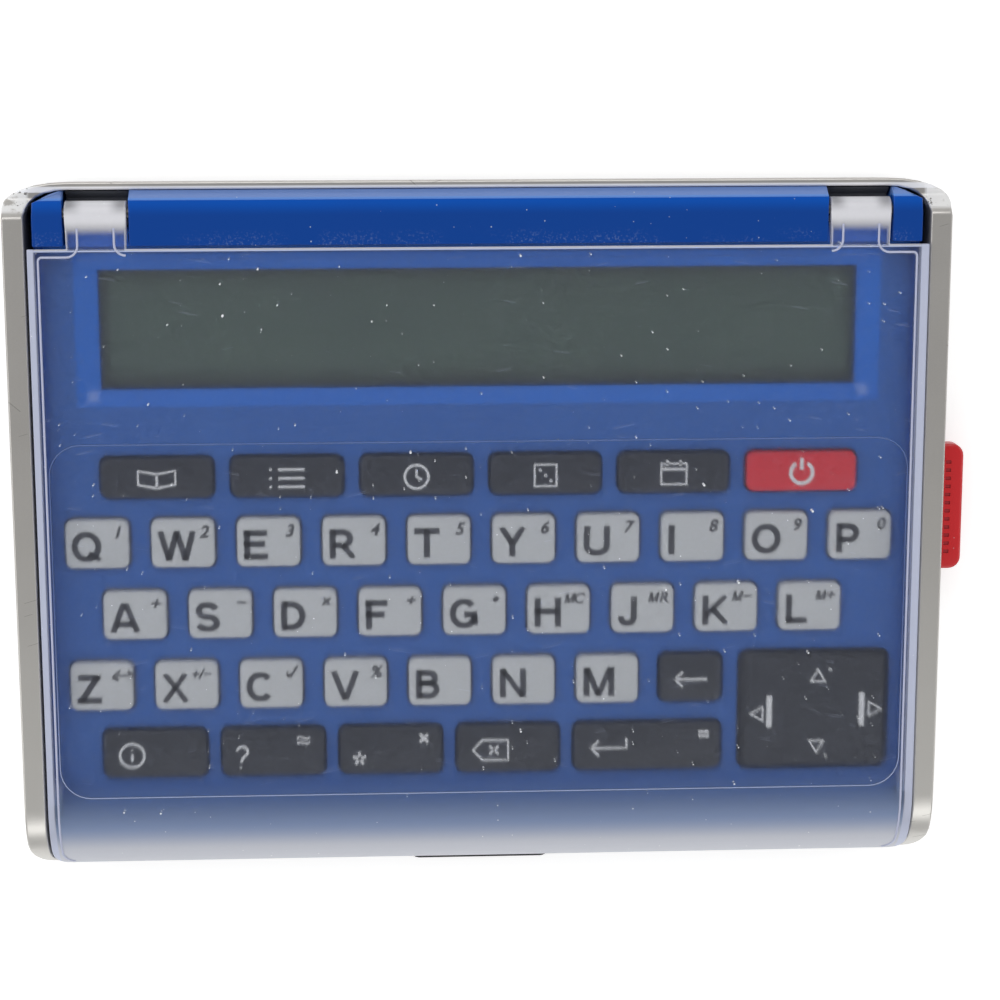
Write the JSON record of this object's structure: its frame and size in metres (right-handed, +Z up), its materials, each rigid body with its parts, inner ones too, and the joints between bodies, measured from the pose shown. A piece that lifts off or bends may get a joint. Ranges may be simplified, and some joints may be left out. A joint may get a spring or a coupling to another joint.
{
  "type": "electronic dictionary",
  "caption": "Pocket electronic dictionary with a frosted hinged lid, a wide display, a letter keypad, a direction pad and a pull-out reference slip.",
  "frame": {"origin": "middle of the flat resting face under the casing, level with that face", "axes": "+X along the width towards the pull tab, +Y towards the lid's hinge, +Z up out of the keypad"},
  "size_m": [0.1318, 0.0988, 0.015],
  "materials": {
    "cover_black": "fine matte texture",
    "housing_blue": "glossy moulded plastic",
    "frame_silver": "satin silver paint",
    "lid_frosted": "frosted clear plastic",
    "pin_steel": "plain",
    "lens_clear": "clear",
    "gasket_black": "foam",
    "display_glass": "reflective grey-green",
    "connector_rubber": "soft",
    "board_green": "solder mask",
    "chip_black": "cured resin",
    "mat_rubber": "silicone",
    "gimbal_plastic": "moulded",
    "key_light": "satin",
    "key_dark": "satin",
    "key_red": "satin",
    "cell_steel": "nickel plated",
    "contact_steel": "spring strip",
    "screw_steel": "zinc plated",
    "buzzer_brass": "plain",
    "slip_card": "laminated card",
    "tab_red": "glossy"
  },
  "bodies": {
    "casing": {"rear_cover": "cover_black", "front_housing": "housing_blue", "side_frame": "frame_silver", "hinge_pins": "pin_steel", "display_lens": "lens_clear", "display_gasket": "gasket_black", "display_panel": "display_glass", "display_connector": "connector_rubber", "circuit_board": "board_green", "chip_cover": "chip_black", "keypad_mat": "mat_rubber", "battery": "cell_steel", "battery_contacts": "contact_steel", "screws": "screw_steel", "buzzer": "buzzer_brass"},
    "lid": {"lid": "lid_frosted"},
    "key_q": {"key_q": "key_light"},
    "key_w": {"key_w": "key_light"},
    "key_e": {"key_e": "key_light"},
    "key_r": {"key_r": "key_light"},
    "key_t": {"key_t": "key_light"},
    "key_y": {"key_y": "key_light"},
    "key_u": {"key_u": "key_light"},
    "key_i": {"key_i": "key_light"},
    "key_o": {"key_o": "key_light"},
    "key_p": {"key_p": "key_light"},
    "key_a": {"key_a": "key_light"},
    "key_s": {"key_s": "key_light"},
    "key_d": {"key_d": "key_light"},
    "key_f": {"key_f": "key_light"},
    "key_g": {"key_g": "key_light"},
    "key_h": {"key_h": "key_light"},
    "key_j": {"key_j": "key_light"},
    "key_k": {"key_k": "key_light"},
    "key_l": {"key_l": "key_light"},
    "key_z": {"key_z": "key_light"},
    "key_x": {"key_x": "key_light"},
    "key_c": {"key_c": "key_light"},
    "key_v": {"key_v": "key_light"},
    "key_b": {"key_b": "key_light"},
    "key_n": {"key_n": "key_light"},
    "key_m": {"key_m": "key_light"},
    "key_book": {"key_book": "key_dark"},
    "key_lists": {"key_lists": "key_dark"},
    "key_timer": {"key_timer": "key_dark"},
    "key_games": {"key_games": "key_dark"},
    "key_planner": {"key_planner": "key_dark"},
    "key_back": {"key_back": "key_dark"},
    "key_help": {"key_help": "key_dark"},
    "key_question": {"key_question": "key_dark"},
    "key_star": {"key_star": "key_dark"},
    "key_clear": {"key_clear": "key_dark"},
    "key_enter": {"key_enter": "key_dark"},
    "key_power": {"key_power": "key_red"},
    "dpad_gimbal": {"dpad_gimbal": "gimbal_plastic"},
    "dpad_cap": {"dpad_cap": "key_dark"},
    "reference_slip": {"reference_slip": "slip_card", "pull_tab": "tab_red"},
    "battery_door": {"battery_door": "cover_black"},
    "reset_button": {"reset_button": "gimbal_plastic"}
  },
  "joints": [
    {"name": "lid_hinge", "type": "hinge", "parent": "casing", "child": "lid", "pos_m": [0, 0.044, 0.0132], "axis": [-1, 0, 0], "range_deg": [0, 150]},
    {"name": "key_q_press", "type": "slide", "parent": "casing", "child": "key_q", "axis": [0, 0, -1], "range_m": [0, 0.0008], "stiffness_N_per_m": 400, "deforming": ["keypad_mat"]},
    {"name": "key_w_press", "type": "slide", "parent": "casing", "child": "key_w", "axis": [0, 0, -1], "range_m": [0, 0.0008], "stiffness_N_per_m": 400},
    {"name": "key_e_press", "type": "slide", "parent": "casing", "child": "key_e", "axis": [0, 0, -1], "range_m": [0, 0.0008], "stiffness_N_per_m": 400},
    {"name": "key_r_press", "type": "slide", "parent": "casing", "child": "key_r", "axis": [0, 0, -1], "range_m": [0, 0.0008], "stiffness_N_per_m": 400},
    {"name": "key_t_press", "type": "slide", "parent": "casing", "child": "key_t", "axis": [0, 0, -1], "range_m": [0, 0.0008], "stiffness_N_per_m": 400},
    {"name": "key_y_press", "type": "slide", "parent": "casing", "child": "key_y", "axis": [0, 0, -1], "range_m": [0, 0.0008], "stiffness_N_per_m": 400},
    {"name": "key_u_press", "type": "slide", "parent": "casing", "child": "key_u", "axis": [0, 0, -1], "range_m": [0, 0.0008], "stiffness_N_per_m": 400},
    {"name": "key_i_press", "type": "slide", "parent": "casing", "child": "key_i", "axis": [0, 0, -1], "range_m": [0, 0.0008], "stiffness_N_per_m": 400},
    {"name": "key_o_press", "type": "slide", "parent": "casing", "child": "key_o", "axis": [0, 0, -1], "range_m": [0, 0.0008], "stiffness_N_per_m": 400},
    {"name": "key_p_press", "type": "slide", "parent": "casing", "child": "key_p", "axis": [0, 0, -1], "range_m": [0, 0.0008], "stiffness_N_per_m": 400},
    {"name": "key_a_press", "type": "slide", "parent": "casing", "child": "key_a", "axis": [0, 0, -1], "range_m": [0, 0.0008], "stiffness_N_per_m": 400},
    {"name": "key_s_press", "type": "slide", "parent": "casing", "child": "key_s", "axis": [0, 0, -1], "range_m": [0, 0.0008], "stiffness_N_per_m": 400},
    {"name": "key_d_press", "type": "slide", "parent": "casing", "child": "key_d", "axis": [0, 0, -1], "range_m": [0, 0.0008], "stiffness_N_per_m": 400},
    {"name": "key_f_press", "type": "slide", "parent": "casing", "child": "key_f", "axis": [0, 0, -1], "range_m": [0, 0.0008], "stiffness_N_per_m": 400},
    {"name": "key_g_press", "type": "slide", "parent": "casing", "child": "key_g", "axis": [0, 0, -1], "range_m": [0, 0.0008], "stiffness_N_per_m": 400},
    {"name": "key_h_press", "type": "slide", "parent": "casing", "child": "key_h", "axis": [0, 0, -1], "range_m": [0, 0.0008], "stiffness_N_per_m": 400},
    {"name": "key_j_press", "type": "slide", "parent": "casing", "child": "key_j", "axis": [0, 0, -1], "range_m": [0, 0.0008], "stiffness_N_per_m": 400},
    {"name": "key_k_press", "type": "slide", "parent": "casing", "child": "key_k", "axis": [0, 0, -1], "range_m": [0, 0.0008], "stiffness_N_per_m": 400},
    {"name": "key_l_press", "type": "slide", "parent": "casing", "child": "key_l", "axis": [0, 0, -1], "range_m": [0, 0.0008], "stiffness_N_per_m": 400},
    {"name": "key_z_press", "type": "slide", "parent": "casing", "child": "key_z", "axis": [0, 0, -1], "range_m": [0, 0.0008], "stiffness_N_per_m": 400},
    {"name": "key_x_press", "type": "slide", "parent": "casing", "child": "key_x", "axis": [0, 0, -1], "range_m": [0, 0.0008], "stiffness_N_per_m": 400},
    {"name": "key_c_press", "type": "slide", "parent": "casing", "child": "key_c", "axis": [0, 0, -1], "range_m": [0, 0.0008], "stiffness_N_per_m": 400},
    {"name": "key_v_press", "type": "slide", "parent": "casing", "child": "key_v", "axis": [0, 0, -1], "range_m": [0, 0.0008], "stiffness_N_per_m": 400},
    {"name": "key_b_press", "type": "slide", "parent": "casing", "child": "key_b", "axis": [0, 0, -1], "range_m": [0, 0.0008], "stiffness_N_per_m": 400},
    {"name": "key_n_press", "type": "slide", "parent": "casing", "child": "key_n", "axis": [0, 0, -1], "range_m": [0, 0.0008], "stiffness_N_per_m": 400},
    {"name": "key_m_press", "type": "slide", "parent": "casing", "child": "key_m", "axis": [0, 0, -1], "range_m": [0, 0.0008], "stiffness_N_per_m": 400},
    {"name": "key_book_press", "type": "slide", "parent": "casing", "child": "key_book", "axis": [0, 0, -1], "range_m": [0, 0.0008], "stiffness_N_per_m": 400},
    {"name": "key_lists_press", "type": "slide", "parent": "casing", "child": "key_lists", "axis": [0, 0, -1], "range_m": [0, 0.0008], "stiffness_N_per_m": 400},
    {"name": "key_timer_press", "type": "slide", "parent": "casing", "child": "key_timer", "axis": [0, 0, -1], "range_m": [0, 0.0008], "stiffness_N_per_m": 400},
    {"name": "key_games_press", "type": "slide", "parent": "casing", "child": "key_games", "axis": [0, 0, -1], "range_m": [0, 0.0008], "stiffness_N_per_m": 400},
    {"name": "key_planner_press", "type": "slide", "parent": "casing", "child": "key_planner", "axis": [0, 0, -1], "range_m": [0, 0.0008], "stiffness_N_per_m": 400},
    {"name": "key_back_press", "type": "slide", "parent": "casing", "child": "key_back", "axis": [0, 0, -1], "range_m": [0, 0.0008], "stiffness_N_per_m": 400},
    {"name": "key_help_press", "type": "slide", "parent": "casing", "child": "key_help", "axis": [0, 0, -1], "range_m": [0, 0.0008], "stiffness_N_per_m": 400},
    {"name": "key_question_press", "type": "slide", "parent": "casing", "child": "key_question", "axis": [0, 0, -1], "range_m": [0, 0.0008], "stiffness_N_per_m": 400},
    {"name": "key_star_press", "type": "slide", "parent": "casing", "child": "key_star", "axis": [0, 0, -1], "range_m": [0, 0.0008], "stiffness_N_per_m": 400},
    {"name": "key_clear_press", "type": "slide", "parent": "casing", "child": "key_clear", "axis": [0, 0, -1], "range_m": [0, 0.0008], "stiffness_N_per_m": 400},
    {"name": "key_enter_press", "type": "slide", "parent": "casing", "child": "key_enter", "axis": [0, 0, -1], "range_m": [0, 0.0008], "stiffness_N_per_m": 400},
    {"name": "key_power_press", "type": "slide", "parent": "casing", "child": "key_power", "axis": [0, 0, -1], "range_m": [0, 0.0008], "stiffness_N_per_m": 400},
    {"name": "dpad_left_right", "type": "hinge", "parent": "casing", "child": "dpad_gimbal", "pos_m": [0.04658, -0.0261, 0.0086], "axis": [0, 1, 0], "range_deg": [-3, 3], "stiffness_Nm_per_rad": 0.05},
    {"name": "dpad_up_down", "type": "hinge", "parent": "dpad_gimbal", "child": "dpad_cap", "pos_m": [0.04658, -0.0261, 0.0086], "axis": [1, 0, 0], "range_deg": [-3, 3], "stiffness_Nm_per_rad": 0.05},
    {"name": "slip_pull", "type": "slide", "parent": "casing", "child": "reference_slip", "axis": [1, 0, 0], "range_m": [0, 0.05]},
    {"name": "battery_door_slide", "type": "slide", "parent": "casing", "child": "battery_door", "axis": [-1, 0, 0], "range_m": [0, 0.012]},
    {"name": "reset_press", "type": "slide", "parent": "casing", "child": "reset_button", "axis": [0, 0, 1], "range_m": [0, 0.0006], "stiffness_N_per_m": 200}
  ]
}
